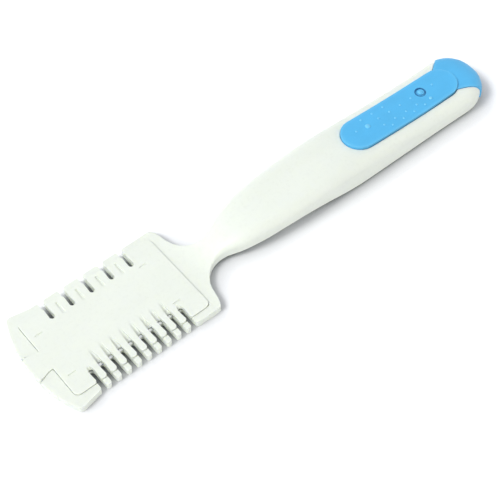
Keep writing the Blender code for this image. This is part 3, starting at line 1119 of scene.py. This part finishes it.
# Colours of the lamps and of the light all round
KEY_TINT = (1.0, 1.0, 1.0)
FILL_TINT = (1.0, 0.92, 0.74)
AROUND_TINT = (0.94, 0.98, 1.06)

# The floor: its half width, how far from the middle it begins and ends to glow by itself, and how
# strongly. It carries a painted shadow where the comb hides the side that the key lamp lights, and
# a darker painted shadow where little but the comb is above it, as in the slots.
FLOOR_REACH = 3.0
GLOW_RANGE = (0.16, 0.50)
NEAR_GLOW, FAR_GLOW = 0.10, 0.60
LIT_SIDE = (-0.52, 0.30, 0.80)
SHADE_SAMPLES = 16
SHADE_RANGE = (0.05, 0.95)
PAINTED_SHADOW_COLOUR = (0.34, 0.35, 0.365, 1.0)
SLOT_RANGE = (0.20, 0.38)
SLOT_PAINTED_SHADOW_COLOUR = (0.10, 0.115, 0.115, 1.0)
FLOOR_DULLNESS = 0.9


def white_ray(finish):
    """1 for the rays that should see a white background, 0 for those that carry light."""
    kinds = ("Is Camera Ray", "Is Glossy Ray", "Is Transmission Ray")
    seen, mirrored, through = (finish.add("ShaderNodeLightPath", output=kind) for kind in kinds)
    return finish.maths("MINIMUM", seen + mirrored + through, 1.0)


class COMB_OT_stage(bpy.types.Operator):
    """Sets up the pale floor, the soft lamps, the surrounding light and the camera"""

    bl_idname = "comb.stage"
    bl_label = "Studio"

    def execute(self, context):
        scene = context.scene
        stage = scene.comb_stage
        scene.view_settings.view_transform = "Standard"
        self.lay_floor(scene, stage)
        self.light(scene, stage)
        self.look(scene, stage)
        return {"FINISHED"}

    def look(self, scene, stage):
        """Points the camera at the comb."""
        lens = bpy.data.cameras.new("camera")
        lens.lens = stage.lens
        lens.sensor_width = SENSOR_WIDTH
        lens.clip_start = NEAREST_SEEN
        camera = bpy.data.objects.new("camera", lens)
        scene.collection.objects.link(camera)
        camera.rotation_euler = (math.pi / 2 - stage.elevation, 0.0, stage.turn)
        back = camera.rotation_euler.to_matrix() @ Vector((0.0, 0.0, 1.0))
        camera.location = Vector(stage.aim) + stage.distance * back
        scene.camera = camera

    def lay_floor(self, scene, stage):
        """Lays a floor that is white to look at, keeps the comb's shadow and carries painted shadow
        round it.
        """
        mesh = bpy.data.meshes.new("floor")
        turns = ((-1, -1), (1, -1), (1, 1), (-1, 1))
        corners = [(x * FLOOR_REACH, y * FLOOR_REACH, 0.0) for x, y in turns]
        mesh.from_pydata(corners, [], [(0, 1, 2, 3)])
        floor = bpy.data.objects.new("floor", mesh)
        scene.collection.objects.link(floor)
        material = bpy.data.materials.new("pale_floor")
        finish = Finish(material)
        seen = white_ray(finish)
        distance = finish.vector_maths("LENGTH", {"Vector": finish.place()}, "Value")
        far = finish.ramp(distance, *GLOW_RANGE)
        lit_side = finish.add("ShaderNodeCombineXYZ", inputs=dict(zip("XYZ", LIT_SIDE)))
        to_lamp = finish.openness(stage.contact, {"samples": SHADE_SAMPLES}, lit_side)
        overhead = finish.openness(stage.contact, {"samples": SHADE_SAMPLES})
        lit = finish.ramp(to_lamp, *SHADE_RANGE)
        open_air = finish.ramp(overhead, *SLOT_RANGE)
        # Painted shadow: grey where the comb hides the lamp's side, dark where only the comb is
        # overhead
        tone = finish.blend(lit, PAINTED_SHADOW_COLOUR, WHITE)
        tone = finish.blend(open_air, SLOT_PAINTED_SHADOW_COLOUR, tone)
        tone = finish.blend(seen, opaque(stage.floor_colour), tone)
        glow = finish.blend(far, grey(NEAR_GLOW), grey(FAR_GLOW))
        glow = finish.blend(lit, BLACK, glow)
        glow = finish.blend(seen, BLACK, glow)
        finish.surface(
            {
                "Base Color": tone,
                "Roughness": FLOOR_DULLNESS,
                "Specular IOR Level": 0.0,
                "Emission Color": glow,
                "Emission Strength": 1.0,
            }
        )
        mesh.materials.append(material)

    def light(self, scene, stage):
        """Lights the comb from all round and with three soft lamps."""
        world = bpy.data.worlds.new("studio")
        scene.world = world
        finish = Finish(world)
        height = finish.part(finish.place("Generated"), "Z")
        level, above = (opaque(AROUND_TINT, power) for power in (stage.around, stage.overhead))
        soft = finish.blend(finish.ramp(height, 0.0, 1.0), level, above)
        colour = finish.blend(white_ray(finish), soft, WHITE)
        sky = finish.add("ShaderNodeBackground", inputs={"Color": colour, "Strength": 1.0})
        finish.add("ShaderNodeOutputWorld", inputs={"Surface": sky})
        for name, power, tint, width, place in (
            ("key", stage.key, KEY_TINT, stage.key_width, stage.key_place),
            ("fill", stage.fill, FILL_TINT, stage.fill_width, stage.fill_place),
            ("back", stage.back, KEY_TINT, stage.fill_width, stage.back_place),
        ):
            lamp = bpy.data.lights.new(name, "AREA")
            lamp.energy = power
            lamp.color = tint
            lamp.size = width
            stand = bpy.data.objects.new(name, lamp)
            scene.collection.objects.link(stand)
            stand.location = place
            stand.rotation_euler = stand.location.to_track_quat("Z", "Y").to_euler()
            # Only the key lamp is mirrored, so that low views of the blade don't show the others
            stand.visible_glossy = name == "key"


# Panel and registration


class COMB_PT_panel(bpy.types.Panel):
    """Lists the settings and the steps of the razor comb"""

    bl_idname = "COMB_PT_panel"
    bl_label = "Razor comb"
    bl_space_type = "VIEW_3D"
    bl_region_type = "UI"
    bl_category = "Razor comb"

    def draw(self, context):
        for title, group in (
            ("Plastic", context.scene.comb_plastic),
            ("Grip", context.scene.comb_grip),
            ("Blade", context.scene.comb_blade),
            ("Stage", context.scene.comb_stage),
        ):
            box = self.layout.box()
            box.label(text=title)
            for name in group.bl_rna.properties.keys():
                if name not in ("rna_type", "name"):
                    box.prop(group, name)
        for step in STEPS:
            self.layout.operator(step.bl_idname)


SETTINGS = {
    "comb_plastic": PlasticSettings,
    "comb_grip": GripSettings,
    "comb_blade": BladeSettings,
    "comb_stage": StageSettings,
}
STEPS = (COMB_OT_body, COMB_OT_cover, COMB_OT_blade, COMB_OT_grip, COMB_OT_dots, COMB_OT_stage)


def register():
    for name, group in SETTINGS.items():
        bpy.utils.register_class(group)
        setattr(bpy.types.Scene, name, bpy.props.PointerProperty(type=group))
    for step in STEPS:
        bpy.utils.register_class(step)
    bpy.utils.register_class(COMB_PT_panel)


def unregister():
    bpy.utils.unregister_class(COMB_PT_panel)
    for step in reversed(STEPS):
        bpy.utils.unregister_class(step)
    for name, group in SETTINGS.items():
        delattr(bpy.types.Scene, name)
        bpy.utils.unregister_class(group)


def main():
    register()
    bpy.ops.comb.body()
    bpy.ops.comb.cover()
    bpy.ops.comb.blade()
    bpy.ops.comb.grip()
    bpy.ops.comb.dots()
    bpy.ops.comb.stage()


if __name__ == "__main__":
    main()
